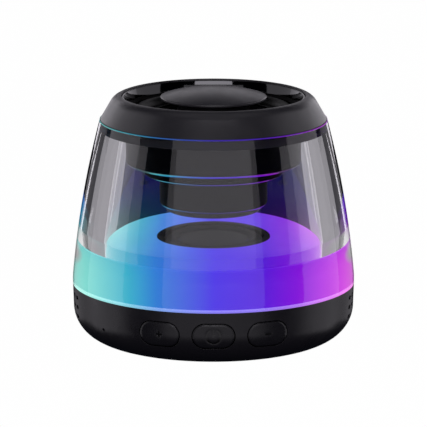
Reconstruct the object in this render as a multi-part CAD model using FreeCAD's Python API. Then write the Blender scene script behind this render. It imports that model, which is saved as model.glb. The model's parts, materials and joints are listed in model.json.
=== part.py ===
import FreeCAD, Part
import math
import os

# Portable Bluetooth speaker: black base with three side buttons, thick clear shell over a lit floor,
# black top ring with an upward-facing driver hung in the clear chamber.
# Millimetres, +Z up, origin on the resting plane under the centre, front of the speaker towards -Y.

# overall
BODY_R = 40.0
BASE_TOP = 17.2
JOINT_TOP = 17.6
SHELL_TOP = 63.7
GAP = 0.3

# base casing
BASE_BOTTOM = 1.4
BASE_SIDE_R = 39.8
BASE_SIDE_Z = 10.95
BASE_ROUND = 9.6
BASE_ROUND_R = BASE_SIDE_R - BASE_ROUND
WALL = 2.4
FLOOR_TOP = 4.0
BATTERY_BAY_R = 21.4
DECK_BOTTOM = 15.4
DECK_R = 38.0
DECK_BORE_R = 14.5
OUTSIDE_R = 45.0

# bottom cover and rubber foot
COVER_R = 24.7
COVER_TOP = 2.8
FOOT_INNER = 15.0
FOOT_OUTER = 19.0
FOOT_TOP = 2.0
FOOT_ROUND = 0.3

# main board and what stands on it
BOARD_BOTTOM = 7.2
BOARD_TOP = 8.4
BOARD_R = 33.4
BATTERY = (34.0, 25.0, 3.6)
PAD = (30.0, 19.0)
PAD_TOP = 3.4

# screws: shank, head and the posts they go into
SCREW_R = 0.95
PILOT_R = 1.0
CLEARANCE_R = 1.2
HEAD_R = 1.7
HEAD_HOLE_R = 1.9
HEAD_HEIGHT = 0.8
RECESS_WIDTH = 0.4
RECESS_REACH = 0.9
BOSS_R = 2.2
COVER_BOSS_TOP = 6.8

# controls on the front of the base
BUTTON_Z = 10.6
BUTTON_WIDTH = 11.5
BUTTON_HEIGHT = 6.8
BUTTON_LIP = 0.7
BUTTON_ANGLES = {"plus": -22.2, "power": 0.0, "minus": 22.2}
MARK_DEPTH = 0.2
MARK_STROKE = 0.44
MARK_REACH = 0.9
POWER_MARK_R = 2.1
PUSHER_R = 1.4
PLUNGER_R = 0.9
SWITCH_FACE = 32.6
SWITCH_TOP = 12.2
PLUNGER_OUT = 33.7
MIC_ANGLE = -50.6
MIC_Z = 8.9
MIC_BOARD_OUT = 35.2
MIC_BOOT_LENGTH = 1.4

# USB-C port at the back
USB_Z = 10.0
USB_WIDTH = 8.94
USB_HEIGHT = 3.2
USB_WALL = 0.3
USB_IN = 31.0
USB_OUT = 38.3
TONGUE_WIDTH = 6.7
TONGUE_THICK = 0.7
BEZEL_WIDTH = 13.4
BEZEL_HEIGHT = 7.0
BEZEL_DEPTH = 0.9

# side grilles
GRILLE_ROWS = 4
GRILLE_COLUMNS = 7
GRILLE_ROW_PITCH = 2.7
GRILLE_COLUMN_PITCH = 5.2
GRILLE_Z = 10.55
SLOT_WIDTH = 2.3
SLOT_HEIGHT = 1.2

# clear shell outline: a short bend, then one long shallow arc
BEND_R = 20.0
BEND_Z = 18.34
LEAN_START = math.radians(5.42)
FLANK_R = 270.85

# lit floor: flat top, leaning wall, rounded shoulder bonded to the shell, foot on the deck
FLOOR_Z = 30.2
FLOOR_R = 30.2
FLOOR_WALL = 1.5
SHOULDER = (31.1, 27.3)
SHOULDER_MID = (34.2, 26.0)
SHOULDER_END = (35.7, 23.0)
FOOT_R = 36.7
BOND = 0.05

# lamps under the lit floor
LAMP_RING_R = 26.0
LAMP_COUNT = 12
LAMP_SIZE = 3.5
LAMP_LENS_R = 1.3
LAMP_BOARD_INNER = 23.4
LAMP_BOARD_OUTER = 28.6
LAMP_BOARD_BOTTOM = 19.2
LAMP_BOARD_TOP = 20.4
LAMP_TOP = 22.0

# chamber inside the clear shell
CHAMBER_TOP_R = 26.4
CHAMBER_MID = (28.9, 45.8)
CHAMBER_FOOT = (31.0, 31.0)
SPIGOT_R = 29.5
SPIGOT_INNER = 27.6
SPIGOT_BOTTOM = 60.9

# top ring
RING_BOTTOM = 64.0
RING_INSET = 0.25
RING_CORNER_R = 4.1
RING_CORNER = (25.6, 66.8)
RING_CREST_ANGLE = 84.0
RING_BEVEL = 0.7
RING_BORE = 25.95
RING_SHELF = 64.4
RING_NECK = 25.05
RING_NECK_OUTER = 26.4
RING_POCKET_TOP = 63.0

# bezel and clamp over the driver's edge
BEZEL_INNER = 24.4
BEZEL_BOTTOM = 67.4
BEZEL_TOP = 70.45
BEZEL_ROUND = 0.3
BEZEL_LIP = 67.9
CLAMP_INNER = 22.9
CLAMP_BOTTOM = 66.1

# driver
CUP_R = 24.8
CUP_BOTTOM = 51.0
CUP_ROUND = 2.0
STEP_R = 19.9
STEP_BOTTOM = 48.2
STEP_ROUND = 0.8
BASKET_BORE = 9.0
BASKET_WALL = 1.2
BASKET_EDGE_R = 25.7
CAN_R = 15.3
CAN_BOTTOM = 39.15
CAN_WALL = 1.1
CAN_ROUND = 1.2
YOKE_R = 13.6
YOKE_BOTTOM = 37.8
YOKE_TOP = 41.2
POLE_R = 6.2
MAGNET_BORE = 8.4
MAGNET_TOP = 46.2
PLATE_BORE = 7.65
PLATE_R = 14.0
COIL_R = 6.6
COIL_PAPER = 0.3
COIL_WIRE = 0.35
COIL_BOTTOM = 43.4
COIL_TOP = 58.4
WIRE_BOTTOM = 45.2
WIRE_TOP = 49.2
SPIDER_Z = 52.2
SPIDER_R = 20.4
SPIDER_THICK = 0.35
SPIDER_WAVES = 4
SPIDER_WAVE_HEIGHT = 0.8
SPIDER_FLAT = 0.9
SPIDER_STOP = 18.0

# cone, dome and surround
CONE_BOTTOM = 57.6
CONE_R = 17.9
CONE_LIP_R = 16.3
CONE_WALL = 0.6
CONE_FOOT = 0.8
SURROUND_Z = 65.6
SURROUND_INNER = 16.4
SURROUND_THICK = 0.5
ROLL_R = 20.3
ROLL_HALF = 1.9
DOME_R = 15.0
DOME_RIM = 70.5
DOME_TOP = 72.85
DOME_WALL = 1.0
DOME_LEG_OUTER = 10.2
DOME_LEG_INNER = 9.2

# bass radiator set in the lit floor
RADIATOR_R = 16.2
RADIATOR_FRAME_R = 16.1
RADIATOR_LIP_R = 17.6
RADIATOR_BORE = 13.2
RADIATOR_EDGE_R = 14.2
RADIATOR_BOTTOM = 26.8
RADIATOR_Z = 28.6
RADIATOR_SKIN = 0.4
RADIATOR_PLATE_R = 10.8
RADIATOR_PLATE_THICK = 1.2
RADIATOR_ROLL = 1.0

# leads from the driver to the main board
LEAD_Y = 21.4
LEAD_R = 0.5
LEAD_X = 0.8
LEAD_TOP = 49.8
GROMMET_R = 1.4
GROMMET_BOTTOM = 28.2
TERMINAL = (5.2, 2.0)


def vec(x, y, z):
    return FreeCAD.Vector(x, y, z)


def turn(radius, *steps):
    """Revolve a closed outline round Z.

    A step is (r, z) for a line, or ((r, z), (r, z)) for an arc through its first point.
    """
    here = radius
    edges = []
    for step in steps + (radius,):
        if isinstance(step[0], tuple):
            via, end = step
            arc = Part.Arc(vec(here[0], 0, here[1]), vec(via[0], 0, via[1]), vec(end[0], 0, end[1]))
            edges.append(arc.toShape())
        else:
            end = step
            edges.append(Part.makeLine(vec(here[0], 0, here[1]), vec(end[0], 0, end[1])))
        here = end
    face = Part.Face(Part.Wire(edges))
    return face.revolve(vec(0, 0, 0), vec(0, 0, 1), 360)


def disc(radius, low, high):
    return Part.makeCylinder(radius, high - low, vec(0, 0, low))


def ring(inner, outer, low, high):
    return turn((inner, low), (outer, low), (outer, high), (inner, high))


def on_circle(centre, radius, degrees):
    angle = math.radians(degrees)
    return (centre[0] + radius * math.cos(angle), centre[1] + radius * math.sin(angle))


def corner(radius, r, z, degrees):
    """Middle of the rounding whose centre is at (r, z)."""
    return on_circle((r, z), radius, degrees)


def box(x0, x1, y0, y1, z0, z1):
    return Part.makeBox(x1 - x0, y1 - y0, z1 - z0, vec(x0, y0, z0))


def block(width, depth, low, high, y=0.0):
    """Box centred on X = 0 and on the given Y."""
    return box(-width / 2, width / 2, y - depth / 2, y + depth / 2, low, high)


def post(radius, x, y, low, high):
    return Part.makeCylinder(radius, high - low, vec(x, y, low))


def polar(radius, degrees):
    return on_circle((0, 0), radius, degrees)


def face_out(shape, azimuth):
    """Move a shape made for the front face, -Y, to another azimuth, positive towards +X."""
    moved = shape.copy()
    moved.rotate(vec(0, 0, 0), vec(0, 0, 1), azimuth)
    return moved


def pill(width, height, z, near, far):
    """Bar along Y with round ends in X, from y = -far to y = -near."""
    radius = height / 2
    half = width / 2 - radius
    bar = box(-half, half, -far, -near, z - radius, z + radius)
    ends = [rod(radius, z, near, far, x) for x in (-half, half)]
    return union([bar] + ends)


def rod(radius, z, near, far, x=0.0):
    return Part.makeCylinder(radius, far - near, vec(x, -far, z), vec(0, 1, 0))


def union(shapes):
    return shapes[0].multiFuse(shapes[1:]).removeSplitter()


def save(name, shape):
    shape.exportStep("parts/" + name + ".step")


def save_group(name, shapes):
    save(name, Part.makeCompound(shapes))


def base_body(inset):
    """Solid of the base's outer form drawn in by inset, never lower than the base's flat underside."""
    centre = (BASE_ROUND_R, BASE_SIDE_Z)
    radius = BASE_ROUND - inset
    low = max(BASE_BOTTOM, BASE_SIDE_Z - radius)
    foot_angle = -math.degrees(math.asin((BASE_SIDE_Z - low) / radius))
    return turn(
        (0, low),
        on_circle(centre, radius, foot_angle),
        (on_circle(centre, radius, foot_angle / 2), (BASE_SIDE_R - inset, BASE_SIDE_Z)),
        (BODY_R - inset, BASE_TOP),
        (0, BASE_TOP),
    )


def base_band(outer_inset, inner_inset):
    """Layer of the base's wall between two depths below its outer face."""
    return base_body(outer_inset).cut(base_body(inner_inset))


# places of screws and posts
COVER_SCREWS = [polar(22.2, angle) for angle in (0, 90, 180, 270)]
BOARD_SCREWS = [polar(28.6, angle) for angle in (50, 130, 230, 310)]
DECK_SCREWS = [polar(33.2, angle) for angle in (35, 145, 206, 334)]
DECK_SCREW_SEAT = 16.2
COVER_SCREW_SEAT = 2.2
COVER_PILOT_TOP = 6.4
BOARD_PILOT_BOTTOM = 4.0
DECK_PILOT_BOTTOM = 9.0
BOSS_FOOT = 2.0
SKIN = 0.6


def make_base():
    casing = base_body(0)
    casing = casing.cut(base_body(WALL).common(disc(OUTSIDE_R, BASE_BOTTOM, DECK_BOTTOM)))
    casing = casing.cut(disc(DECK_R + 0.2, DECK_BOTTOM, BASE_TOP))
    casing = casing.cut(disc(COVER_R + GAP, BASE_BOTTOM, COVER_TOP))
    casing = casing.cut(disc(BATTERY_BAY_R, COVER_TOP, FLOOR_TOP))

    bosses = [post(BOSS_R, x, y, COVER_TOP, COVER_BOSS_TOP) for x, y in COVER_SCREWS]
    bosses += [post(BOSS_R, x, y, BOSS_FOOT, BOARD_BOTTOM) for x, y in BOARD_SCREWS]
    bosses += [post(BOSS_R, x, y, BOSS_FOOT, DECK_BOTTOM) for x, y in DECK_SCREWS]
    inside = base_body(SKIN)
    casing = union([casing] + [boss.common(inside) for boss in bosses])

    cuts = [post(PILOT_R, x, y, COVER_TOP, COVER_PILOT_TOP) for x, y in COVER_SCREWS]
    cuts += [post(PILOT_R, x, y, BOARD_PILOT_BOTTOM, BOARD_BOTTOM) for x, y in BOARD_SCREWS]
    cuts += [post(PILOT_R, x, y, DECK_PILOT_BOTTOM, DECK_BOTTOM) for x, y in DECK_SCREWS]
    opening = pill(BUTTON_WIDTH + 2 * GAP, BUTTON_HEIGHT + 2 * GAP, BUTTON_Z, 30, OUTSIDE_R)
    cuts += [face_out(opening, angle) for angle in BUTTON_ANGLES.values()]
    cuts.append(face_out(rod(0.5, MIC_Z, 34, OUTSIDE_R), MIC_ANGLE))
    cuts.append(face_out(pill(USB_WIDTH + 0.66, USB_HEIGHT + 0.6, USB_Z, 33, OUTSIDE_R), 180))
    cuts.append(face_out(pill(BEZEL_WIDTH + 0.2, BEZEL_HEIGHT + 0.2, USB_Z, USB_OUT + 0.3, OUTSIDE_R), 180))
    cuts += grille_slots()
    save("base_casing", casing.cut(Part.makeCompound(cuts)))

    cuts = [ring(FOOT_INNER - 0.1, FOOT_OUTER + 0.1, BASE_BOTTOM, FOOT_TOP)]
    cuts += [post(CLEARANCE_R, x, y, BASE_BOTTOM, COVER_TOP) for x, y in COVER_SCREWS]
    cuts += [post(HEAD_HOLE_R, x, y, BASE_BOTTOM, COVER_SCREW_SEAT) for x, y in COVER_SCREWS]
    cover = disc(COVER_R, BASE_BOTTOM, COVER_TOP)
    for cut in cuts:
        cover = cover.cut(cut)
    save("base_cover", cover)

    foot = turn(
        (FOOT_INNER, FOOT_TOP),
        (FOOT_INNER, FOOT_ROUND),
        (FOOT_INNER + FOOT_ROUND, 0),
        (FOOT_OUTER - FOOT_ROUND, 0),
        (FOOT_OUTER, FOOT_ROUND),
        (FOOT_OUTER, FOOT_TOP),
    )
    save("foot_ring", foot)


def grille_slots():
    slots = []
    for side in (90, -90):
        for row in range(GRILLE_ROWS):
            z = GRILLE_Z + (row - (GRILLE_ROWS - 1) / 2) * GRILLE_ROW_PITCH
            slot = pill(SLOT_WIDTH, SLOT_HEIGHT, z, 34, OUTSIDE_R)
            for column in range(GRILLE_COLUMNS):
                place = column - (GRILLE_COLUMNS - 1) / 2
                slots.append(face_out(slot, side + place * GRILLE_COLUMN_PITCH))
    return slots


def screw(x, y, seat, tip):
    """Cross-recess screw. Its head stands on the seat, on the side away from the tip."""
    away = -1 if tip > seat else 1
    top = seat + away * HEAD_HEIGHT
    floor = top - away * RECESS_WIDTH
    head = post(HEAD_R, x, y, min(seat, top), max(seat, top))
    shank = post(SCREW_R, x, y, min(seat, tip), max(seat, tip))
    low, high = min(top, floor), max(top, floor)
    half = RECESS_WIDTH / 2
    across = box(x - RECESS_REACH, x + RECESS_REACH, y - half, y + half, low, high)
    along = box(x - half, x + half, y - RECESS_REACH, y + RECESS_REACH, low, high)
    return union([head, shank]).cut(union([across, along]))


def make_screws():
    save_group("cover_screws", [screw(x, y, COVER_SCREW_SEAT, 6.2) for x, y in COVER_SCREWS])
    save_group("board_screws", [screw(x, y, BOARD_TOP, 4.4) for x, y in BOARD_SCREWS])
    save_group("deck_screws", [screw(x, y, DECK_SCREW_SEAT, 9.4) for x, y in DECK_SCREWS])


def make_electronics():
    battery_top = PAD_TOP + BATTERY[2]
    save("battery", block(BATTERY[0], BATTERY[1], PAD_TOP, battery_top))
    save("battery_pad", block(PAD[0], PAD[1], COVER_TOP, PAD_TOP))

    holes = [post(CLEARANCE_R, x, y, BOARD_BOTTOM, BOARD_TOP) for x, y in BOARD_SCREWS]
    holes += [post(BOSS_R + 0.4, x, y, BOARD_BOTTOM, BOARD_TOP) for x, y in DECK_SCREWS]
    save("main_board", disc(BOARD_R, BOARD_BOTTOM, BOARD_TOP).cut(Part.makeCompound(holes)))

    processor = box(-4.5, 4.5, -6, 3, BOARD_TOP, 9.5)
    amplifier = box(9, 14, -4, 1, BOARD_TOP, 9.4)
    charger = box(-15, -10, -3, 2, BOARD_TOP, 9.4)
    memory = box(-8, -4, 9, 12, BOARD_TOP, 9.2)
    inductor = box(5, 10, 8, 13, BOARD_TOP, 10.4)
    save_group("board_chips", [processor, amplifier, charger, memory, inductor])

    socket = pill(USB_WIDTH, USB_HEIGHT, USB_Z, USB_IN, USB_OUT)
    hollow = pill(USB_WIDTH - 2 * USB_WALL, USB_HEIGHT - 2 * USB_WALL, USB_Z, USB_IN + 0.8, USB_OUT)
    save("usb_shell", face_out(socket.cut(hollow), 180))
    low, high = USB_Z - TONGUE_THICK / 2, USB_Z + TONGUE_THICK / 2
    tongue = box(-TONGUE_WIDTH / 2, TONGUE_WIDTH / 2, -USB_OUT + 0.9, -USB_IN - 0.8, low, high)
    save("usb_tongue", face_out(tongue, 180))
    plate = pill(BEZEL_WIDTH, BEZEL_HEIGHT, USB_Z, USB_OUT + 0.3, OUTSIDE_R)
    mouth = pill(USB_WIDTH + 0.86, USB_HEIGHT + 0.8, USB_Z, 33, OUTSIDE_R)
    save("port_bezel", base_band(0, BEZEL_DEPTH).common(face_out(plate.cut(mouth), 180)))

    capsule = rod(2.0, MIC_Z, MIC_BOARD_OUT - 1.6, MIC_BOARD_OUT)
    save("microphone", face_out(capsule, MIC_ANGLE))
    boot = rod(1.2, MIC_Z, MIC_BOARD_OUT, MIC_BOARD_OUT + MIC_BOOT_LENGTH)
    boot = boot.cut(rod(0.6, MIC_Z, MIC_BOARD_OUT, MIC_BOARD_OUT + MIC_BOOT_LENGTH))
    save("mic_boot", face_out(boot, MIC_ANGLE))


def button_marks():
    """Cutters for the three marks, running in through the front face."""
    half = MARK_STROKE / 2
    bar = box(-MARK_REACH, MARK_REACH, -OUTSIDE_R, -32, BUTTON_Z - half, BUTTON_Z + half)
    upright = box(-half, half, -OUTSIDE_R, -32, BUTTON_Z - MARK_REACH, BUTTON_Z + MARK_REACH)
    arc = rod(POWER_MARK_R, BUTTON_Z, 32, OUTSIDE_R)
    arc = arc.cut(rod(POWER_MARK_R - MARK_STROKE, BUTTON_Z, 32, OUTSIDE_R))
    arc = arc.cut(box(-0.7, 0.7, -OUTSIDE_R, -32, BUTTON_Z, BUTTON_Z + 3))
    stroke = box(-half, half, -OUTSIDE_R, -32, BUTTON_Z + 0.2, BUTTON_Z + 2.1)
    return {"plus": union([bar, upright]), "minus": bar, "power": Part.makeCompound([arc, stroke])}


def make_buttons():
    lip_size = (BUTTON_WIDTH + 2 * BUTTON_LIP, BUTTON_HEIGHT + 2 * BUTTON_LIP)
    wide = pill(*lip_size, BUTTON_Z, 32, OUTSIDE_R)
    narrow = pill(BUTTON_WIDTH, BUTTON_HEIGHT, BUTTON_Z, 32, OUTSIDE_R)
    key = base_band(0, WALL + 0.2).common(narrow)
    lip = base_band(WALL + 0.1, WALL + 1.1).common(wide)
    pusher = rod(PUSHER_R, BUTTON_Z, PLUNGER_OUT, 36.2)
    cap = union([key, lip, pusher])

    skin = base_band(0, MARK_DEPTH)
    switch = box(-2.3, 2.3, -SWITCH_FACE, -SWITCH_FACE + 3, BOARD_TOP, SWITCH_TOP)
    switch = switch.cut(rod(1.0, BUTTON_Z, SWITCH_FACE - 1.2, SWITCH_FACE))
    plunger = rod(PLUNGER_R, BUTTON_Z, SWITCH_FACE - 0.6, PLUNGER_OUT)
    marks = button_marks()
    for name, angle in BUTTON_ANGLES.items():
        mark = skin.common(marks[name])
        save("button_" + name, face_out(cap.cut(mark), angle))
        save("mark_" + name, face_out(mark, angle))
        save("plunger_" + name, face_out(plunger, angle))
    save_group("button_switches", [face_out(switch, angle) for angle in BUTTON_ANGLES.values()])


def make_deck():
    rib = ring(24.8, 27.4, BASE_TOP, LAMP_BOARD_BOTTOM)
    deck = union([ring(DECK_BORE_R, DECK_R, DECK_BOTTOM, BASE_TOP), rib])
    cuts = [post(CLEARANCE_R, x, y, DECK_BOTTOM, BASE_TOP) for x, y in DECK_SCREWS]
    cuts += [post(HEAD_HOLE_R, x, y, DECK_SCREW_SEAT, BASE_TOP) for x, y in DECK_SCREWS]
    cuts += [post(LEAD_R + 0.2, x, LEAD_Y, DECK_BOTTOM, BASE_TOP) for x in (-LEAD_X, LEAD_X)]
    save("deck_plate", deck.cut(Part.makeCompound(cuts)))

    save("led_board", ring(LAMP_BOARD_INNER, LAMP_BOARD_OUTER, LAMP_BOARD_BOTTOM, LAMP_BOARD_TOP))
    lamp = block(LAMP_SIZE, LAMP_SIZE, LAMP_BOARD_TOP, LAMP_TOP, -LAMP_RING_R)
    lamp = lamp.cut(post(LAMP_LENS_R, 0, -LAMP_RING_R, LAMP_TOP - 0.5, LAMP_TOP))
    pitch = 360 / LAMP_COUNT
    save_group("led_lamps", [face_out(lamp, pitch * (index + 0.5)) for index in range(LAMP_COUNT)])
    save("light_ring", ring(FOOT_R + 0.2, BODY_R, BASE_TOP, JOINT_TOP))


def make_lit_floor():
    drum = turn(
        (FOOT_R, BASE_TOP),
        (FOOT_R, JOINT_TOP),
        SHOULDER_END,
        (SHOULDER_MID, SHOULDER),
        (SHOULDER[0] - GAP, SHOULDER[1]),
        (FLOOR_R, FLOOR_Z),
        (RADIATOR_R, FLOOR_Z),
        (RADIATOR_R, FLOOR_Z - FLOOR_WALL),
        (FLOOR_R - 1.2, FLOOR_Z - FLOOR_WALL),
        (SHOULDER[0] - 1.7, SHOULDER[1] - 1.3),
        ((32.8, 24.6), (SHOULDER_END[0] - FLOOR_WALL, 22.0)),
        (FOOT_R - FLOOR_WALL, BASE_TOP),
    )
    save("light_diffuser", drum.cut(post(GROMMET_R + BOND, 0, LEAD_Y, FLOOR_Z - FLOOR_WALL, FLOOR_Z)))
    grommet = post(GROMMET_R, 0, LEAD_Y, GROMMET_BOTTOM, FLOOR_Z)
    for x in (-LEAD_X, LEAD_X):
        grommet = grommet.cut(post(LEAD_R, x, LEAD_Y, GROMMET_BOTTOM, FLOOR_Z))
    save("lead_grommet", grommet)
    save_group("driver_leads", [post(LEAD_R, x, LEAD_Y, BOARD_TOP, LEAD_TOP) for x in (-LEAD_X, LEAD_X)])


def make_radiator():
    frame = turn(
        (RADIATOR_BORE, RADIATOR_BOTTOM),
        (RADIATOR_LIP_R, RADIATOR_BOTTOM),
        (RADIATOR_LIP_R, FLOOR_Z - FLOOR_WALL),
        (RADIATOR_FRAME_R, FLOOR_Z - FLOOR_WALL),
        (RADIATOR_FRAME_R, FLOOR_Z),
        (RADIATOR_EDGE_R, FLOOR_Z),
        (RADIATOR_EDGE_R, RADIATOR_Z),
        (RADIATOR_BORE, RADIATOR_Z),
    )
    save("radiator_frame", frame)

    low, high = RADIATOR_Z, RADIATOR_Z + RADIATOR_SKIN
    middle = (RADIATOR_PLATE_R + RADIATOR_BORE) / 2
    outer_roll = math.sqrt((RADIATOR_ROLL + RADIATOR_SKIN) ** 2 - RADIATOR_SKIN ** 2)
    skirt = turn(
        (RADIATOR_PLATE_R - 1.0, low),
        (middle - RADIATOR_ROLL, low),
        ((middle, low + RADIATOR_ROLL), (middle + RADIATOR_ROLL, low)),
        (RADIATOR_EDGE_R, low),
        (RADIATOR_EDGE_R, high),
        (middle + outer_roll, high),
        ((middle, high + RADIATOR_ROLL), (middle - outer_roll, high)),
        (RADIATOR_PLATE_R - 1.0, high),
    )
    save("radiator_surround", skirt)
    plate = disc(RADIATOR_PLATE_R, RADIATOR_Z - RADIATOR_PLATE_THICK, RADIATOR_Z)
    boss = disc(RADIATOR_PLATE_R - 1.1, RADIATOR_Z, RADIATOR_Z + 0.6)
    save("radiator_plate", union([plate, boss]))


def shell_outer():
    """Points of the clear shell's outer face above the bend's start, from foot to top."""
    drop = BEND_R * (1 - math.cos(LEAN_START))
    half_drop = BEND_R * (1 - math.cos(LEAN_START / 2))
    bend_mid = (BODY_R - half_drop, BEND_Z + BEND_R * math.sin(LEAN_START / 2))
    bend_end = (BODY_R - drop, BEND_Z + BEND_R * math.sin(LEAN_START))
    centre = (bend_end[0] - FLANK_R * math.cos(LEAN_START), bend_end[1] - FLANK_R * math.sin(LEAN_START))
    top_angle = math.asin((SHELL_TOP - centre[1]) / FLANK_R)
    top = on_circle(centre, FLANK_R, math.degrees(top_angle))
    middle = on_circle(centre, FLANK_R, math.degrees((top_angle + LEAN_START) / 2))
    return bend_mid, bend_end, middle, top


def make_shell():
    bend_mid, bend_end, flank_mid, top = shell_outer()
    shell = turn(
        (BODY_R, JOINT_TOP),
        (BODY_R, BEND_Z),
        (bend_mid, bend_end),
        (flank_mid, top),
        (SPIGOT_R + GAP, SHELL_TOP),
        (SPIGOT_R + GAP, SPIGOT_BOTTOM - GAP),
        (CHAMBER_TOP_R, SPIGOT_BOTTOM - GAP),
        (CHAMBER_MID, CHAMBER_FOOT),
        (SHOULDER[0], SHOULDER[1] + BOND),
        ((SHOULDER_MID[0], SHOULDER_MID[1] + BOND), (SHOULDER_END[0] + BOND, SHOULDER_END[1])),
        (FOOT_R + BOND, JOINT_TOP),
    )
    save("clear_shell", shell)
    save("upper_seal", ring(SPIGOT_R + GAP, top[0] - BOND, SHELL_TOP, RING_BOTTOM))
    return top[0]


def make_ring(edge_r):
    reach = (edge_r - RING_CORNER[0], RING_BOTTOM - RING_CORNER[1])
    lean = math.degrees(math.atan2(reach[1], reach[0]) + math.acos(RING_CORNER_R / math.hypot(*reach)))
    tangent = on_circle(RING_CORNER, RING_CORNER_R, lean)
    middle = on_circle(RING_CORNER, RING_CORNER_R, (lean + RING_CREST_ANGLE) / 2)
    crest = on_circle(RING_CORNER, RING_CORNER_R, RING_CREST_ANGLE)
    body = turn(
        (RING_NECK, SPIGOT_BOTTOM),
        (RING_NECK_OUTER, SPIGOT_BOTTOM),
        (RING_NECK_OUTER, RING_POCKET_TOP),
        (SPIGOT_INNER, RING_POCKET_TOP),
        (SPIGOT_INNER, SPIGOT_BOTTOM),
        (SPIGOT_R, SPIGOT_BOTTOM),
        (SPIGOT_R, RING_BOTTOM),
        (edge_r, RING_BOTTOM),
        tangent,
        (middle, crest),
        (RING_BORE, crest[1] - RING_BEVEL),
        (RING_BORE, RING_SHELF),
        (RING_NECK, RING_SHELF),
    )
    save("top_ring", body)

    outer = RING_BORE - 0.1
    centre = (outer - BEZEL_ROUND, BEZEL_TOP - BEZEL_ROUND)
    bezel = turn(
        (BEZEL_INNER, BEZEL_BOTTOM),
        (outer, BEZEL_BOTTOM),
        (outer, centre[1]),
        (corner(BEZEL_ROUND, *centre, 45), (centre[0], BEZEL_TOP)),
        (centre[0] - 0.15, BEZEL_TOP),
        (BEZEL_INNER, BEZEL_LIP),
    )
    save("bezel_ring", bezel)
    save("surround_clamp", ring(CLAMP_INNER, RING_BORE - 0.2, CLAMP_BOTTOM, BEZEL_BOTTOM))


def make_basket():
    inner_cup = CUP_R - BASKET_WALL
    inner_step = STEP_R - BASKET_WALL
    cup_floor = CUP_BOTTOM + BASKET_WALL
    step_floor = STEP_BOTTOM + BASKET_WALL
    step_corner = (STEP_R - STEP_ROUND, STEP_BOTTOM + STEP_ROUND)
    cup_corner = (CUP_R - CUP_ROUND, CUP_BOTTOM + CUP_ROUND)
    basket = turn(
        (BASKET_EDGE_R, RING_SHELF),
        (BASKET_EDGE_R, SURROUND_Z),
        (inner_cup, SURROUND_Z),
        (inner_cup, cup_floor),
        (inner_step, cup_floor),
        (inner_step, step_floor),
        (BASKET_BORE, step_floor),
        (BASKET_BORE, STEP_BOTTOM),
        (step_corner[0], STEP_BOTTOM),
        (corner(STEP_ROUND, *step_corner, -45), (STEP_R, step_corner[1])),
        (STEP_R, CUP_BOTTOM),
        (cup_corner[0], CUP_BOTTOM),
        (corner(CUP_ROUND, *cup_corner, -45), (CUP_R, cup_corner[1])),
        (CUP_R, RING_SHELF),
    )
    save("driver_basket", basket)
    save("lead_terminal", block(*TERMINAL, LEAD_TOP, CUP_BOTTOM, LEAD_Y))


def make_motor():
    can_floor = CAN_BOTTOM + CAN_WALL
    can_corner = (CAN_R - CAN_ROUND, CAN_BOTTOM + CAN_ROUND)
    can = turn(
        (CAN_R, STEP_BOTTOM),
        (CAN_R - CAN_WALL, STEP_BOTTOM),
        (CAN_R - CAN_WALL, can_floor),
        (YOKE_R + 0.1, can_floor),
        (YOKE_R + 0.1, CAN_BOTTOM),
        (can_corner[0], CAN_BOTTOM),
        (corner(CAN_ROUND, *can_corner, -45), (CAN_R, can_corner[1])),
    )
    save("motor_can", can)

    yoke = turn(
        (0, YOKE_BOTTOM),
        (YOKE_R - 0.4, YOKE_BOTTOM),
        (YOKE_R, YOKE_BOTTOM + 0.4),
        (YOKE_R, YOKE_TOP),
        (POLE_R, YOKE_TOP),
        (POLE_R, STEP_BOTTOM),
        (0, STEP_BOTTOM),
    )
    save("yoke", yoke)
    save("magnet", ring(MAGNET_BORE, YOKE_R, YOKE_TOP, MAGNET_TOP))
    save("top_plate", ring(PLATE_BORE, PLATE_R, MAGNET_TOP, STEP_BOTTOM))
    paper = COIL_R + COIL_PAPER
    save("coil_former", ring(COIL_R, paper, COIL_BOTTOM, COIL_TOP))
    save("coil_winding", ring(paper, paper + COIL_WIRE, WIRE_BOTTOM, WIRE_TOP))


def make_spider():
    """Corrugated disc from the coil former out to the floor of the cup."""
    inner = COIL_R + COIL_PAPER
    low, high = SPIDER_Z, SPIDER_Z + SPIDER_THICK
    width = (SPIDER_STOP - inner - SPIDER_FLAT) / SPIDER_WAVES
    under = [(inner, high), (inner, low), (inner + SPIDER_FLAT, low)]
    over = [(SPIDER_R, low), (SPIDER_R, high), (SPIDER_STOP, high)]
    for wave in range(SPIDER_WAVES):
        start = inner + SPIDER_FLAT + wave * width
        under.append(((start + width / 2, low + SPIDER_WAVE_HEIGHT), (start + width, low)))
        start = SPIDER_STOP - wave * width
        over.append(((start - width / 2, high + SPIDER_WAVE_HEIGHT), (start - width, high)))
    save("spider", turn(*under, *over))


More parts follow.
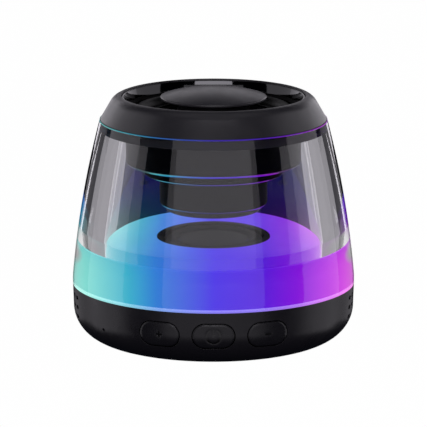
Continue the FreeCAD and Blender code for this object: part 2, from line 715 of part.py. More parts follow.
def make_cone():
    inner = COIL_R + COIL_PAPER
    foot_top = CONE_BOTTOM + CONE_FOOT
    cone = turn(
        (inner, CONE_BOTTOM),
        (CONE_LIP_R + 0.3, SURROUND_Z - CONE_WALL),
        (CONE_R, SURROUND_Z - CONE_WALL),
        (CONE_R, SURROUND_Z),
        (CONE_LIP_R, SURROUND_Z),
        (inner, foot_top),
    )
    save("cone", cone)

    slope = (SURROUND_Z - foot_top) / (CONE_LIP_R - inner)
    rise = DOME_TOP - DOME_RIM
    dome_radius = (DOME_R ** 2 + rise ** 2) / (2 * rise)

    def cone_top(radius):
        return (radius, foot_top + (radius - inner) * slope)

    def dome_top(radius, depth=0.0):
        height = math.sqrt((dome_radius - depth) ** 2 - radius ** 2)
        return (radius, DOME_TOP - dome_radius + height)

    edge = DOME_R - 0.15
    skirt_r = DOME_R - 1.2
    dome = turn(
        (0, DOME_TOP),
        (dome_top(edge / 2), dome_top(edge)),
        (DOME_R, DOME_RIM - 0.15),
        (DOME_R, DOME_RIM - 0.6),
        (DOME_R - 0.5, DOME_RIM - 0.9),
        (skirt_r, DOME_RIM - 0.9),
        (dome_top((skirt_r + DOME_LEG_OUTER) / 2, DOME_WALL), dome_top(DOME_LEG_OUTER, DOME_WALL)),
        cone_top(DOME_LEG_OUTER),
        cone_top(DOME_LEG_INNER),
        dome_top(DOME_LEG_INNER, DOME_WALL),
        (dome_top(DOME_LEG_INNER / 2, DOME_WALL), (0, DOME_TOP - DOME_WALL)),
    )
    save("dome_cap", dome)

    low, high = SURROUND_Z, SURROUND_Z + SURROUND_THICK
    outer_half = math.sqrt((ROLL_HALF + SURROUND_THICK) ** 2 - SURROUND_THICK ** 2)
    surround = turn(
        (SURROUND_INNER, low),
        (ROLL_R - ROLL_HALF, low),
        ((ROLL_R, low + ROLL_HALF), (ROLL_R + ROLL_HALF, low)),
        (BASKET_EDGE_R, low),
        (BASKET_EDGE_R, high),
        (ROLL_R + outer_half, high),
        ((ROLL_R, high + ROLL_HALF), (ROLL_R - outer_half, high)),
        (SURROUND_INNER, high),
    )
    save("surround", surround)


os.makedirs("parts", exist_ok=True)
make_base()
make_screws()
make_electronics()
make_buttons()
make_deck()
make_lit_floor()
make_radiator()
make_ring(make_shell() - RING_INSET)
make_basket()
make_motor()
make_spider()
make_cone()
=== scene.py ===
import json
import math

import bmesh
import bpy
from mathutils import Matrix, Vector


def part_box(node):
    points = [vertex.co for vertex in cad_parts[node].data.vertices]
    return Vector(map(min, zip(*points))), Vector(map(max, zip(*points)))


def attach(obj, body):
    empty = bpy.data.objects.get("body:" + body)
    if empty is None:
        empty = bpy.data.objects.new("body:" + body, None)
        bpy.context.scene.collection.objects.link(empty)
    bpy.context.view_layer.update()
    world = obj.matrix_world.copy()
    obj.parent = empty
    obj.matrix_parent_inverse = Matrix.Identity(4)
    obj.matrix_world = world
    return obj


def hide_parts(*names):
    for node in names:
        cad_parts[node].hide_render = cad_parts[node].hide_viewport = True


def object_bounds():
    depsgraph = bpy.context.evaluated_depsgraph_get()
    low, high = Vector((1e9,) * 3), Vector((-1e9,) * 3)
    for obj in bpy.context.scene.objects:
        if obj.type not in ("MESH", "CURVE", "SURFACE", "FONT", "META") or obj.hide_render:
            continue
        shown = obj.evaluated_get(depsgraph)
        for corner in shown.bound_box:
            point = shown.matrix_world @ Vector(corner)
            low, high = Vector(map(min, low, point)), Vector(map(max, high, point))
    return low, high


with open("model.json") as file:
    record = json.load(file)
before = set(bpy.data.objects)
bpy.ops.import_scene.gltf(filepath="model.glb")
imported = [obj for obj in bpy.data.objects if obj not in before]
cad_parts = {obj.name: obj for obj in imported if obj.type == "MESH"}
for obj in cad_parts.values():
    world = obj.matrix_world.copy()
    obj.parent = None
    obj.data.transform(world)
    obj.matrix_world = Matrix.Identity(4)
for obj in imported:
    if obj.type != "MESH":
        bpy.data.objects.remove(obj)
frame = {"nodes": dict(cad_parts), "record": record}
cad_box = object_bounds()
NODES = frame["nodes"]

# Outlines are written in millimetres as (radius, height) and scaled to the frame's metres.
MM = 0.001
SEGMENTS = 240
SOFT_EDGE = math.radians(32)

# Chords of an arc: the longest in mm, the fewest in a radian, and the limits on their number.
CHORD = 0.35
CHORDS_PER_RADIAN = 8
FEWEST_CHORDS = 4
MOST_CHORDS = 120

lowest, highest = cad_box
HEIGHT = highest.z - lowest.z
CENTRE = Vector((0, 0, lowest.z + HEIGHT / 2))


# ---------------------------------------------------------------- meshes

def arc_points(start, via, end):
    """Points after start along the arc through three places, ending at end."""
    ax, ay = start
    bx, by = via
    cx, cy = end
    d = 2 * (ax * (by - cy) + bx * (cy - ay) + cx * (ay - by))
    a2, b2, c2 = ax * ax + ay * ay, bx * bx + by * by, cx * cx + cy * cy
    ox = (a2 * (by - cy) + b2 * (cy - ay) + c2 * (ay - by)) / d
    oy = (a2 * (cx - bx) + b2 * (ax - cx) + c2 * (bx - ax)) / d
    radius = math.hypot(ax - ox, ay - oy)
    first = math.atan2(ay - oy, ax - ox)
    sweep = (math.atan2(cy - oy, cx - ox) - first) % math.tau
    middle = (math.atan2(by - oy, bx - ox) - first) % math.tau
    if middle > sweep:
        sweep -= math.tau
    count = math.ceil(abs(sweep) * max(radius / CHORD, CHORDS_PER_RADIAN))
    count = min(max(count, FEWEST_CHORDS), MOST_CHORDS)
    points = []
    for i in range(1, count):
        angle = first + sweep * i / count
        points.append((ox + radius * math.cos(angle), oy + radius * math.sin(angle)))
    return points + [end]


def outline(start, *steps):
    """A closed outline. A step is a point for a line, or a pair of points for an arc through the first."""
    points = [start]
    for step in steps:
        if isinstance(step[0], tuple):
            points += arc_points(points[-1], *step)
        else:
            points.append(step)
    return points


def link(obj):
    bpy.context.scene.collection.objects.link(obj)
    return obj


def finish_mesh(name, bm):
    bmesh.ops.recalc_face_normals(bm, faces=bm.faces)
    mesh = bpy.data.meshes.new(name)
    bm.to_mesh(mesh)
    bm.free()
    mesh.polygons.foreach_set("use_smooth", [True] * len(mesh.polygons))
    mesh.set_sharp_from_angle(angle=SOFT_EDGE)
    return link(bpy.data.objects.new(name, mesh))


def turned(name, body, node, points):
    """Closed outline turned round Z, standing for a CAD node."""
    bm = bmesh.new()
    rings = []
    for radius, height in points:
        r, z = radius * MM, height * MM
        if radius == 0:
            rings.append([bm.verts.new((0, 0, z))])
            continue
        ring = []
        for i in range(SEGMENTS):
            turn = math.tau * i / SEGMENTS
            ring.append(bm.verts.new((r * math.cos(turn), r * math.sin(turn), z)))
        rings.append(ring)
    for a, b in zip(rings, rings[1:] + rings[:1]):
        for i in range(SEGMENTS):
            j = (i + 1) % SEGMENTS
            corners = [a[i % len(a)], a[j % len(a)], b[j % len(b)], b[i % len(b)]]
            distinct = list(dict.fromkeys(corners))
            if len(distinct) > 2:
                bm.faces.new(distinct)
    obj = finish_mesh(name, bm)
    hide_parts(node)
    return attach(obj, body)


# ---------------------------------------------------------------- materials

def linear(*srgb):
    """Linear colour from 0-255 display values."""
    return tuple((c / 255 / 12.92) if c <= 10 else ((c / 255 + 0.055) / 1.055) ** 2.4 for c in srgb) + (1.0,)


def grey(value, tint=1.0):
    """Grey with its blue multiplied by tint."""
    return (value, value, value * tint, 1.0)


def shaded(colour, factor):
    return tuple(c * factor for c in colour[:3]) + (1.0,)


class Material:
    """A node tree with short calls for the nodes used here."""

    def __init__(self, name):
        self.data = bpy.data.materials.new(name)
        self.data.use_nodes = True
        self.tree = self.data.node_tree
        self.tree.nodes.clear()
        self.output = self.tree.nodes.new("ShaderNodeOutputMaterial")

    def node(self, kind, inputs=None, **settings):
        made = self.tree.nodes.new("ShaderNode" + kind)
        for key, value in settings.items():
            setattr(made, key, value)
        for key, value in (inputs or {}).items():
            if isinstance(value, bpy.types.NodeSocket):
                self.tree.links.new(value, made.inputs[key])
            else:
                made.inputs[key].default_value = value
        return made

    def place(self):
        return self.node("TexCoord").outputs["Object"]

    def noise(self, scale, detail=3.0, roughness=0.5, vector=None):
        vector = vector or self.place()
        inputs = {"Vector": vector, "Scale": scale, "Detail": detail, "Roughness": roughness}
        return self.node("TexNoise", inputs).outputs["Fac"]

    def waves(self, pitch, vector, **settings):
        """Bands that repeat every pitch mm."""
        inputs = {"Vector": vector, "Scale": 1 / (pitch * MM) / math.tau}
        return self.node("TexWave", inputs, **settings).outputs["Fac"]

    def maths(self, operation, *values):
        return self.node("Math", dict(enumerate(values)), operation=operation).outputs["Value"]

    def span(self, value, low, high, start=0.0, end=1.0):
        """Goes from low to high as value goes from start to end."""
        inputs = {"Value": value, "From Min": start, "From Max": end, "To Min": low, "To Max": high}
        return self.node("MapRange", inputs).outputs["Result"]

    def ramp(self, value, stops):
        made = self.node("ValToRGB", {"Fac": value})
        elements = made.color_ramp.elements
        for spot, _ in stops[2:]:
            elements.new(spot)
        for element, (spot, colour) in zip(elements, stops):
            element.position = spot
            element.color = colour
        return made.outputs["Color"]

    def mix(self, value, low, high):
        made = self.node("Mix", data_type="RGBA")
        for socket, given in ((made.inputs[0], value), (made.inputs[6], low), (made.inputs[7], high)):
            if isinstance(given, bpy.types.NodeSocket):
                self.tree.links.new(given, socket)
            else:
                socket.default_value = given
        return made.outputs[2]

    def bump(self, height, distance, strength=1.0, normal=None):
        inputs = {"Height": height, "Distance": distance * MM, "Strength": strength}
        if normal is not None:
            inputs["Normal"] = normal
        return self.node("Bump", inputs).outputs["Normal"]

    def principled(self, **inputs):
        shader = self.node("BsdfPrincipled", {k.replace("_", " "): v for k, v in inputs.items()})
        self.tree.links.new(shader.outputs[0], self.output.inputs["Surface"])
        return self.data


def moulded(
    name, colour, roughness, specular=0.5, grain=0.25, depth=0.004, spread=0.05, metallic=0.0, edge=0.0
):
    """Moulded plastic: spark-eroded grain, slow variation in gloss and shade, softened edges. Sizes in mm."""
    m = Material(name)
    fine = m.noise(1 / (grain * MM), 2.0)
    slow = m.noise(140.0, 4.0, 0.6)
    cloud = m.noise(38.0, 3.0)
    shade = m.mix(cloud, shaded(colour, 0.86), shaded(colour, 1.16))
    soft = m.node("Bevel", {"Radius": edge * MM}, samples=6).outputs["Normal"] if edge else None
    return m.principled(
        Base_Color=shade,
        Roughness=m.span(slow, roughness - spread, roughness + spread, 0.3, 0.7),
        Specular_IOR_Level=specular,
        Metallic=metallic,
        Normal=m.bump(fine, depth, normal=soft),
    )


def brushed(name, colour, roughness=0.32, stretch=14.0):
    """Metal with fine drawn lines."""
    m = Material(name)
    scaled = m.node("Mapping", {"Vector": m.place(), "Scale": (900, 900, 900 * stretch)}).outputs["Vector"]
    lines = m.noise(1.0, 3.0, 0.6, scaled)
    slow = m.noise(90.0, 3.0)
    return m.principled(
        Base_Color=m.mix(slow, shaded(colour, 0.85), colour),
        Metallic=1.0,
        Roughness=m.span(lines, roughness - 0.08, roughness + 0.08, 0.3, 0.7),
        Normal=m.bump(lines, 0.004),
    )


# Where the painted highlight band lies on a rounded corner: 0 faces straight down, 1 is level.
HIGHLIGHT_BAND_STOPS = [
    (0.00, grey(0)),
    (0.02, grey(0)),
    (0.03, grey(1)),
    (0.46, grey(1)),
    (0.52, grey(0)),
    (1.00, grey(0)),
]


def driver_plastic(name):
    """Black driver housing: matt faces, with a painted highlight low on each rounded corner, partly real: a
    bright mirror band there reflects the lit floor below.
    """
    m = Material(name)
    normal = m.node("NewGeometry").outputs["Normal"]
    down = m.node("SeparateXYZ", {"Vector": normal}).outputs["Z"]
    line = m.ramp(m.span(down, 0.0, 1.0, -1.0, 0.0), HIGHLIGHT_BAND_STOPS)
    return m.principled(
        # Painted highlight: mirror colour, metal and gloss go only onto the down-facing band of each corner,
        # which then reflects the lit floor.
        Base_Color=m.mix(line, grey(0.0012, 1.1), grey(0.75)),
        Metallic=line,
        Roughness=m.span(line, 0.5, 0.12),
        Specular_IOR_Level=0.03,
        Normal=m.bump(m.noise(4000.0, 2.0), 0.0005),
    )


# Colours of the lit floor from the left (-X) to the right (+X) side of the body.
GLOW = [
    (0.00, linear(166, 245, 230)),
    (0.08, linear(120, 215, 205)),
    (0.22, linear(57, 168, 196)),
    (0.31, linear(48, 122, 208)),
    (0.41, linear(58, 88, 216)),
    (0.50, linear(64, 34, 220)),
    (0.66, linear(84, 22, 214)),
    (0.78, linear(128, 14, 214)),
    (0.90, linear(190, 40, 222)),
    (1.00, linear(250, 90, 240)),
]

# Limits in mm of the painted reflections on the lit floor's front wall: grey on the shoulder at both sides,
# pale on the far sides.
WALL_FADE_Z = (27.0, 27.6)
SHOULDER_SLOPE = 1.5
SHOULDER_FADE = (76.0, 77.5)
SIDE_FADE_X = (25.0, 33.0)
SIDE_FADE_Y = (-4.0, 6.0)
SHOULDER_REFLECTION_GREY = grey(0.38)
SIDE_REFLECTION_PALE = grey(0.8)

# Width in mm over which a glowing rim comes up from dark.
RIM_FADE = 0.02


def glow_colour(m, paler=0.0):
    """Colour along X across the whole body, with the mottling of an opal moulding.

    The wall under the floor gets a painted grey reflection on its shoulder at both sides and a painted pale
    reflection behind them, standing for studio light reflected inside the shell.
    """
    place = m.node("SeparateXYZ", {"Vector": m.place()})
    x, y, z = (place.outputs[axis] for axis in "XYZ")
    along = m.span(x, 0.0, 1.0, lowest.x, highest.x)
    stops = [(spot, tuple(c + (1 - c) * paler for c in colour[:3]) + (1.0,)) for spot, colour in GLOW]
    colour = m.ramp(along, stops)

    def fade(value, limits, low=0.0, high=1.0):
        return m.span(value, low, high, limits[0] * MM, limits[1] * MM)

    out = m.maths("ABSOLUTE", x)
    slope = m.maths("MULTIPLY_ADD", out, SHOULDER_SLOPE, z)
    below = fade(z, WALL_FADE_Z, 1.0, 0.0)
    shoulder = m.maths("MULTIPLY", fade(slope, SHOULDER_FADE), below)
    far_side_reflection = m.maths("MULTIPLY", fade(out, SIDE_FADE_X), fade(y, SIDE_FADE_Y))
    # Painted reflection: grey on the shoulders and pale on the far sides, for studio light that the shell
    # reflects over them.
    colour = m.mix(shoulder, colour, SHOULDER_REFLECTION_GREY)
    colour = m.mix(m.maths("MULTIPLY", far_side_reflection, below), colour, SIDE_REFLECTION_PALE)

    dim = m.span(m.noise(60.0, 3.0), 0.95, 1.03, 0.3, 0.7)
    return m.node("VectorMath", {0: colour, 3: dim}, operation="SCALE").outputs["Vector"]


def glowing(name, strength, paler=0.0, edge_r=None):
    """Lit opal plastic. With edge_r (mm) only the rim beyond that radius glows."""
    m = Material(name)
    fine = m.noise(5000.0, 2.0)
    power = strength
    if edge_r:
        flat = m.node("VectorMath", {0: m.place(), 1: (1, 1, 0)}, operation="MULTIPLY").outputs["Vector"]
        radius = m.node("VectorMath", {0: flat}, operation="LENGTH").outputs["Value"]
        power = m.span(radius, 0.0, strength, (edge_r - RIM_FADE) * MM, edge_r * MM)
    return m.principled(
        Base_Color=grey(0.02),
        Roughness=m.span(m.noise(200.0), 0.30, 0.40),
        Emission_Color=glow_colour(m, paler),
        Emission_Strength=power,
        Specular_IOR_Level=0.1,
        Normal=m.bump(fine, 0.002),
    )


def clear(name):
    """Polished clear acrylic with the faint waviness of a thick moulding."""
    m = Material(name)
    slow = m.noise(45.0, 1.0)
    return m.principled(
        Base_Color=(0.985, 0.99, 0.995, 1.0),
        Transmission_Weight=1.0,
        Roughness=0.0,
        IOR=1.49,
        Normal=m.bump(slow, 0.001, 0.5),
    )


def cloth(name, colour, pitch=0.35):
    """Woven suspension cloth: two crossing sets of threads."""
    m = Material(name)
    place = m.place()
    threads = []
    for angle in (0.0, math.pi / 2):
        turned_place = m.node("Mapping", {"Vector": place, "Rotation": (0, 0, angle)}).outputs["Vector"]
        threads.append(m.waves(pitch, turned_place))
    weave = m.maths("MAXIMUM", *threads)
    return m.principled(
        # Painted shade: the cloth darkens to half where the weave's bump is low, between the threads.
        Base_Color=m.mix(weave, shaded(colour, 0.5), colour),
        Roughness=m.span(weave, 0.75, 0.95),
        Normal=m.bump(weave, 0.05),
    )


def board(name, mask):
    """Solder mask with faint copper tracks under it."""
    m = Material(name)
    track = tuple(min(c, 1.0) for c in shaded(mask, 1.8))
    inputs = {"Vector": m.place(), "Scale": 700.0, "Mortar Size": 0.03}
    inputs.update({"Color1": mask, "Color2": shaded(mask, 0.8), "Mortar": track})
    brick = m.node("TexBrick", inputs)
    return m.principled(
        Base_Color=brick.outputs["Color"],
        Roughness=m.span(m.noise(300.0), 0.3, 0.42),
        Normal=m.bump(brick.outputs["Fac"], 0.01),
    )


def wound(name, colour, pitch=0.18):
    """Enamelled wire laid in even turns along Z."""
    m = Material(name)
    wave = m.waves(pitch, m.place(), bands_direction="Z")
    return m.principled(
        # Painted shade: the copper darkens to half in the low bands of the bump, between the turns.
        Base_Color=m.mix(wave, shaded(colour, 0.5), colour),
        Metallic=1.0,
        Roughness=m.span(m.noise(400.0), 0.25, 0.4),
        Normal=m.bump(wave, 0.06),
    )


BASE_BLACK = (0.0100, 0.0094, 0.0122, 1)
BUTTON_BLACK = (0.0088, 0.0084, 0.0108, 1)
RING_BLACK = (0.0145, 0.0138, 0.0172, 1)
DOME_GREY = (0.0225, 0.0215, 0.026, 1)
MASK_GREEN = (0.006, 0.06, 0.022, 1)
FOIL = (0.6, 0.61, 0.63, 1)
DARK_STEEL = (0.16, 0.16, 0.17, 1)
BRIGHT_METAL = (0.62, 0.62, 0.64, 1)
COPPER = (0.75, 0.33, 0.14, 1)
RESIN_CLOTH = (0.42, 0.28, 0.10, 1)


def make_materials():
    """One material for each slot of the record."""
    return {
        "base_black": moulded("moulded black base", BASE_BLACK, 0.30, 0.34, edge=0.12),
        "button_black": moulded("moulded black keys", BUTTON_BLACK, 0.26, 0.4, depth=0.003, edge=1.0),
        "mark_gloss": moulded("gloss key marks", grey(0.004), 0.08, depth=0.001, spread=0.02),
        "ring_black": moulded("satin black ring", RING_BLACK, 0.36),
        "bezel_gloss": moulded(
            "dark polished bezel", grey(0.05, 1.03), 0.06, depth=0.0005, spread=0.02, metallic=1.0
        ),
        "driver_black": driver_plastic("gloss black driver"),
        "cone_black": moulded("black cone", grey(0.001, 1.1), 0.5, 0.03, depth=0.001, spread=0.03),
        "dome_grey": moulded("satin grey dome", DOME_GREY, 0.32, grain=0.18, depth=0.002),
        "rubber_gloss": moulded("butyl rubber surround", grey(0.001), 0.4, 0.03, grain=0.4, depth=0.003),
        "rubber_black": moulded("matt black rubber", grey(0.004), 0.7, 0.05, grain=0.3, depth=0.01),
        "rubber_white": moulded("white rubber", grey(0.6), 0.5, 0.4, grain=0.3),
        "foam_black": moulded("black foam", grey(0.02), 0.95, 0.1, grain=0.5, depth=0.15),
        "clear_acrylic": clear("clear acrylic"),
        "clear_seal": glowing("lit upper seal", 0.55, edge_r=32.08),
        "lit_diffuser": glowing("opal diffuser, lit", 1.08),
        "lit_ring": glowing("clear edge ring, lit", 1.15, paler=0.15),
        "deck_white": moulded("matt white deck", grey(0.55), 0.5, 0.4),
        "led_board_white": board("white lamp board", grey(0.6)),
        "lamp_white": moulded("lamp package", grey(0.75), 0.4, grain=0.1),
        "board_green": board("green board", MASK_GREEN),
        "chip_black": moulded("moulded chips", grey(0.015), 0.45, 0.4, grain=0.12),
        "battery_wrap": brushed("foil pouch", FOIL, 0.28, 1.0),
        "screw_steel": brushed("blackened screws", DARK_STEEL, 0.35, 1.0),
        "usb_steel": brushed("stamped steel", BRIGHT_METAL),
        "yoke_steel": moulded("black plated steel", grey(0.002, 1.1), 0.35, 0.15, depth=0.002),
        "magnet_ferrite": moulded("sintered ferrite", grey(0.03), 0.7, 0.4, grain=0.15, depth=0.03),
        "former_aluminium": brushed("former foil", BRIGHT_METAL, 0.25),
        "coil_copper": wound("enamelled copper", COPPER),
        "spider_cloth": cloth("resin-dipped cloth", RESIN_CLOTH),
        "lead_black": moulded("insulated wire", grey(0.012), 0.35, 0.4),
    }


def dress(materials):
    """Gives each CAD node its own slot's material."""
    slots = {part["node"]: part["material_slot"] for part in frame["record"]["subparts"]}
    for name, obj in NODES.items():
        obj.data.materials.clear()
        obj.data.materials.append(materials[slots[name]])
        obj.data.polygons.foreach_set("material_index", [0] * len(obj.data.polygons))
    return slots


# ---------------------------------------------------------------- replaced pieces

def extent(node):
    """Outer radius, bottom and top of a round CAD node, in mm."""
    low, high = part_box(node)
    return high.x / MM, low.z / MM, high.z / MM


def on_arc(centre, radius, degrees):
    angle = math.radians(degrees)
    return (centre[0] + radius * math.cos(angle), centre[1] + radius * math.sin(angle))


def lathe(node, body, materials, slots, *steps):
    """Smooth turned body standing for a CAD node, in that node's own material."""
    obj = turned(node + "_turned", body, node, outline(*steps))
    obj.data.materials.append(materials[slots[node]])
    return obj


# The shell's inner wall where the lit floor fits in it: top, middle and low place, in mm.
SOCKET_TOP = (31.1, 27.3)
SOCKET_MID = (34.2, 26.0)
SOCKET_LOW = (35.7, 23.0)


def make_shell(materials, slots):
    """Thick clear shell: short bend at its foot, long shallow arc, straight-tapered chamber inside."""
    outer_r, foot_z, top_z = extent("clear_shell")
    lean = math.radians(5.42)
    bend_r, bend_z, flank_r = 20.0, 18.34, 270.85
    bend_end = (outer_r - bend_r * (1 - math.cos(lean)), bend_z + bend_r * math.sin(lean))
    bend_mid = (outer_r - bend_r * (1 - math.cos(lean / 2)), bend_z + bend_r * math.sin(lean / 2))
    middle = (bend_end[0] - flank_r * math.cos(lean), bend_end[1] - flank_r * math.sin(lean))
    top_lean = math.asin((top_z - middle[1]) / flank_r)
    recess_r, recess_z = 29.8, 60.6
    chamber_top_r = 26.4
    chamber_mid = (28.9, 45.8)
    chamber_foot = (31.0, 31.0)
    foot_inner_r = 36.7

    def flank(angle):
        return (middle[0] + flank_r * math.cos(angle), middle[1] + flank_r * math.sin(angle))

    lathe(
        "clear_shell", "speaker", materials, slots,
        (outer_r, foot_z),
        (outer_r, bend_z),
        (bend_mid, bend_end),
        (flank((lean + top_lean) / 2), flank(top_lean)),
        (recess_r, top_z),
        (recess_r, recess_z),
        (chamber_top_r, recess_z),
        (chamber_mid, chamber_foot),
        SOCKET_TOP,
        (SOCKET_MID, SOCKET_LOW),
        (foot_inner_r, foot_z),
    )


def make_lit_parts(materials, slots):
    """Lit floor in optical contact with the shell, and the two thin lit rings."""
    foot_r, foot_z, floor_z = extent("light_diffuser")
    drop = 0.02
    face = floor_z - drop
    contact = 0.05
    peak_contact = 0.06
    foot_contact = 0.1
    foot_band = 0.4
    gap_r, floor_r = 30.84, 30.2
    opening_r, floor_wall = 16.2, 1.5
    inner_top_r = 29.0
    inner_bend = (29.4, 26.0)
    inner_mid = (32.8, 24.6)
    inner_low = (34.2, 22.0)
    foot_width = 1.5
    lathe(
        "light_diffuser", "speaker", materials, slots,
        (foot_r + foot_contact, foot_z),
        (foot_r + foot_contact, foot_z + foot_band),
        (SOCKET_LOW[0] + contact, SOCKET_LOW[1] + contact),
        (
            (SOCKET_MID[0] + contact, SOCKET_MID[1] + contact),
            (SOCKET_TOP[0], SOCKET_TOP[1] + peak_contact),
        ),
        (gap_r, SOCKET_TOP[1]),
        (floor_r, face),
        (opening_r, face),
        (opening_r, face - floor_wall),
        (inner_top_r, face - floor_wall),
        inner_bend,
        (inner_mid, inner_low),
        (foot_r - foot_width, foot_z),
    )
    for node, width in (("light_ring", 3.1), ("upper_seal", 2.3)):
        rim, low, high = extent(node)
        corners = ((rim - width, low), (rim, low), (rim, high), (rim - width, high))
        lathe(node, "speaker", materials, slots, *corners)


def make_ring(materials, slots):
    """Satin top ring with a rounded shoulder, and the polished bezel inside it."""
    _, low, _ = extent("top_ring")
    bore_r, wall_r = 25.05, 26.4
    groove_z = 63.0
    spigot_inner_r, spigot_outer_r = 27.6, 29.85
    spigot_contact = 0.35
    spigot_low = low - spigot_contact
    edge_r, edge_z = 31.92, 64.0
    seat_r, seat_z = 25.95, 64.4
    corner, round_r, crest_angle = (25.6, 66.8), 4.1, 84
    lip_round = 0.15
    lip_centre = (edge_r - 0.18, edge_z + lip_round)
    lip_end = (edge_r - 0.08, edge_z + 0.18)
    reach = (edge_r - corner[0], edge_z - corner[1])
    lean = math.degrees(math.atan2(reach[1], reach[0]) + math.acos(round_r / math.hypot(*reach)))
    crest = on_arc(corner, round_r, crest_angle)
    bevel_mid = (crest[0] - 0.06, crest[1] - 0.3)
    bevel_end = (seat_r, crest[1] - 0.7)
    lathe(
        "top_ring", "speaker", materials, slots,
        (bore_r, low),
        (wall_r, low),
        (wall_r, groove_z),
        (spigot_inner_r, groove_z),
        (spigot_inner_r, spigot_low),
        (spigot_outer_r, spigot_low),
        (spigot_outer_r, edge_z),
        (edge_r - lip_round, edge_z),
        (on_arc(lip_centre, lip_round, -40), lip_end),
        on_arc(corner, round_r, lean),
        (on_arc(corner, round_r, (lean + crest_angle) / 2), crest),
        (bevel_mid, bevel_end),
        (seat_r, seat_z),
        (bore_r, seat_z),
    )
    outer, low, top = extent("bezel_ring")
    inner_r, inner_step = 24.4, 0.5
    outer_round, inner_round = 0.3, 0.12
    crown_r = outer - 0.42
    slope_start = (crown_r - 0.11, top - 0.16)
    lathe(
        "bezel_ring", "speaker", materials, slots,
        (inner_r, low),
        (outer, low),
        (outer, top - outer_round),
        (
            on_arc((outer - outer_round, top - outer_round), outer_round, 45),
            (outer - outer_round, top),
        ),
        (crown_r, top),
        (on_arc((crown_r, top - inner_round), inner_round, 125), slope_start),
        (inner_r, low + inner_step),
    )


def make_driver(materials, slots):
    """Cup, step and can of the driver hung in the chamber, with small rounded corners."""
    flange_r, _, flange_top = extent("driver_basket")
    flange_low = flange_top - 1.2
    cup_r, cup_bore, cup_low, cup_floor, cup_round = 24.8, 23.6, 51.0, 52.2, 2.0
    step_r, step_bore, step_low, step_floor, step_round = 19.9, 18.7, 48.2, 49.4, 0.8
    vent_r = 9.0
    lathe(
        "driver_basket", "speaker", materials, slots,
        (flange_r, flange_low),
        (flange_r, flange_top),
        (cup_bore, flange_top),
        (cup_bore, cup_floor),
        (step_bore, cup_floor),
        (step_bore, step_floor),
        (vent_r, step_floor),
        (vent_r, step_low),
        (step_r - step_round, step_low),
        (
            on_arc((step_r - step_round, step_low + step_round), step_round, -45),
            (step_r, step_low + step_round),
        ),
        (step_r, cup_low),
        (cup_r - cup_round, cup_low),
        (
            on_arc((cup_r - cup_round, cup_low + cup_round), cup_round, -45),
            (cup_r, cup_low + cup_round),
        ),
        (cup_r, flange_low),
    )
    can_r, low, high = extent("motor_can")
    wall, round_r, yoke_hole_r = 1.1, 1.2, 13.7
    lathe(
        "motor_can", "speaker", materials, slots,
        (can_r, high),
        (can_r - wall, high),
        (can_r - wall, low + wall),
        (yoke_hole_r, low + wall),
        (yoke_hole_r, low),
        (can_r - round_r, low),
        (on_arc((can_r - round_r, low + round_r), round_r, -45), (can_r, low + round_r)),
    )


def make_radiator(materials, slots):
    """Radiator plate as a straight plug, which slides inside the lip of its surround."""
    _, low, high = extent("radiator_plate")
    plug_r = 9.7
    corners = ((0, high), (plug_r, high), (plug_r, low), (0, low))
    lathe("radiator_plate", "bass_radiator", materials, slots, *corners)


def make_top(materials, slots):
    """Domed cap with a thin rounded rim, riding on the cone."""
    dome_r, _, top = extent("dome_cap")
    rise, skin, edge_round = 2.35, 1.0, 0.3
    collar_inner_r, collar_outer_r = 9.2, 10.2
    collar_inner_z, collar_outer_z = 60.1, 60.9
    skirt_inner_r = 12.0
    skirt_chamfer, skirt_width = 0.5, 1.2
    rim = top - rise
    edge_z, chamfer_z, skirt_z = rim - 0.27, rim - 0.6, rim - 0.9
    crown_r = dome_r - edge_round
    sphere = (dome_r ** 2 + rise ** 2) / (2 * rise)

    def cap(radius, depth=0.0):
        return (radius, top - sphere + math.sqrt((sphere - depth) ** 2 - radius ** 2))

    lathe(
        "dome_cap", "driver_cone", materials, slots,
        (0, top),
        (cap(crown_r / 2), cap(crown_r)),
        (on_arc((crown_r, edge_z), edge_round, 35), (dome_r, edge_z)),
        (dome_r, chamfer_z),
        (dome_r - skirt_chamfer, skirt_z),
        (dome_r - skirt_width, skirt_z),
        (cap(skirt_inner_r, skin), cap(collar_outer_r, skin)),
        (collar_outer_r, collar_outer_z),
        (collar_inner_r, collar_inner_z),
        cap(collar_inner_r, skin),
        (cap(collar_inner_r / 2, skin), (0, top - skin)),
    )


# ---------------------------------------------------------------- stage

CARD_DISTANCE = 1.2
CARD_CELL = 4
SOFTBOX_WHITE = (1, 0.965, 1.04, 1)
SURROUND_DARK = (0.004, 0.005, 0.009, 1)

# Cards on both sides: name, azimuth and elevation in degrees, strength, and the name of the light.
SIDE_CARDS = [
    ("near", (77, 122), (-30, 45), 0.8, "side softbox"),
    ("far", (122, 158), (-21, 2), 0.30, "far side softbox"),
    ("high", (122, 165), (5, 24), 1.3, "high side softbox"),
    ("rim", (154, 166), (-6, 4), 1.7, "rim strip"),
]


def emitter(name, strength, fade=None):
    """Plain light-card material; fade is (low z, high z) over which it comes up from dark."""
    m = Material(name)
    shader = m.node("Emission", {"Color": SOFTBOX_WHITE, "Strength": strength})
    if fade:
        z = m.node("SeparateXYZ", {"Vector": m.place()}).outputs["Z"]
        rise = m.span(z, 0.0, strength, fade[0], fade[1])
        m.tree.links.new(rise, shader.inputs["Strength"])
    m.tree.links.new(shader.outputs[0], m.output.inputs["Surface"])
    return m.data


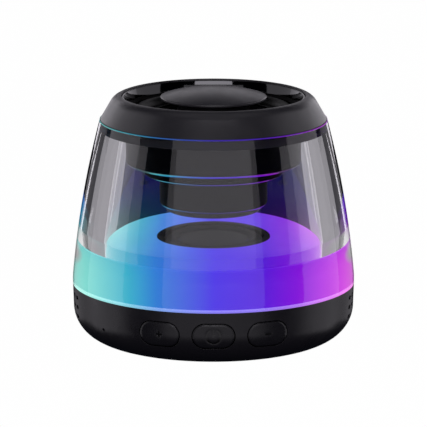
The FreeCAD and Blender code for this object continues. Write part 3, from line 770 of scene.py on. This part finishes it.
def card(name, azimuth, elevation, material):
    """Light card on a sphere round the object. Azimuth is from the camera's side, positive to the right."""
    bm = bmesh.new()
    columns = max(2, round(abs(azimuth[1] - azimuth[0]) / CARD_CELL))
    rows = max(2, round(abs(elevation[1] - elevation[0]) / CARD_CELL))
    grid = []
    for i in range(columns + 1):
        a = math.radians(azimuth[0] + (azimuth[1] - azimuth[0]) * i / columns)
        line = []
        for j in range(rows + 1):
            e = math.radians(elevation[0] + (elevation[1] - elevation[0]) * j / rows)
            ray = Vector((math.sin(a) * math.cos(e), -math.cos(a) * math.cos(e), math.sin(e)))
            line.append(bm.verts.new(CENTRE + ray * CARD_DISTANCE))
        grid.append(line)
    for a, b in zip(grid, grid[1:]):
        for j in range(rows):
            bm.faces.new((a[j], a[j + 1], b[j + 1], b[j]))
    obj = finish_mesh(name, bm)
    obj.data.materials.append(material)
    obj.visible_camera = False
    obj.visible_shadow = False
    return obj


def make_floor():
    """Pale floor that only the camera sees."""
    mesh = bpy.data.meshes.new("floor")
    size = 3.0
    corners = [(-size, -size, 0), (size, -size, 0), (size, size, 0), (-size, size, 0)]
    mesh.from_pydata(corners, [], [(0, 1, 2, 3)])
    floor = link(bpy.data.objects.new("floor", mesh))
    m = Material("pale floor")
    pale = m.mix(m.noise(3.0), (0.99, 0.99, 0.99, 1), (1.0, 1.0, 1.0, 1))
    shader = m.node("Emission", {"Color": pale, "Strength": 1.0})
    m.tree.links.new(shader.outputs[0], m.output.inputs["Surface"])
    mesh.materials.append(m.data)
    for ray in ("diffuse", "glossy", "transmission", "shadow"):
        setattr(floor, "visible_" + ray, False)


def make_cards():
    """Softboxes in front, behind, above and at both sides, seen only in the object's surfaces."""
    front = emitter("front softbox", 0.74, (CENTRE.z - 0.65, CENTRE.z - 0.30))
    card("front_card", (-41, 41), (-34, 24), front)
    card("front_high_card", (-26, 26), (25, 42), emitter("front high softbox", 4.0))
    lights = {name: emitter(light, strength) for name, _, _, strength, light in SIDE_CARDS}
    for side, label in ((-1, "left"), (1, "right")):
        for name, azimuth, elevation, _, _ in SIDE_CARDS:
            card(f"{label}_{name}_card", (azimuth[0] * side, azimuth[1] * side), elevation, lights[name])
    card("strip_card", (176, 184), (-18, -8), emitter("strip behind the driver", 1.4))
    card("back_card", (166, 194), (10, 34), emitter("back softbox", 0.6))
    card("top_card", (-180, 180), (62, 84), emitter("overhead softbox", 0.4))


def make_world():
    """White to the camera and nearly dark to the object, so that only the cards light it."""
    world = bpy.data.worlds.new("studio")
    bpy.context.scene.world = world
    world.use_nodes = True
    tree = world.node_tree
    tree.nodes.clear()
    path = tree.nodes.new("ShaderNodeLightPath")
    seen = tree.nodes.new("ShaderNodeBackground")
    seen.inputs["Color"].default_value = (1, 1, 1, 1)
    around = tree.nodes.new("ShaderNodeBackground")
    around.inputs["Color"].default_value = SURROUND_DARK
    blend = tree.nodes.new("ShaderNodeMixShader")
    out = tree.nodes.new("ShaderNodeOutputWorld")
    tree.links.new(path.outputs["Is Camera Ray"], blend.inputs[0])
    tree.links.new(around.outputs[0], blend.inputs[1])
    tree.links.new(seen.outputs[0], blend.inputs[2])
    tree.links.new(blend.outputs[0], out.inputs["Surface"])


def make_stage():
    bpy.context.scene.view_settings.view_transform = "Standard"
    make_floor()
    make_cards()
    make_world()


def make_camera():
    """Long lens at the front, 12.2 degrees above the horizon."""
    elevation = math.radians(12.2)
    distance = 0.988
    aim_share = 0.5024
    aim = Vector((0, 0, lowest.z + aim_share * HEIGHT))
    data = bpy.data.cameras.new("camera")
    data.lens = 293.6
    data.sensor_width = 36.0
    camera = link(bpy.data.objects.new("camera", data))
    camera.location = aim + distance * Vector((0, -math.cos(elevation), math.sin(elevation)))
    camera.rotation_euler = (aim - camera.location).to_track_quat("-Z", "Y").to_euler()
    bpy.context.scene.camera = camera


materials = make_materials()
slots = dress(materials)
make_shell(materials, slots)
make_lit_parts(materials, slots)
make_ring(materials, slots)
make_driver(materials, slots)
make_radiator(materials, slots)
make_top(materials, slots)
make_stage()
make_camera()
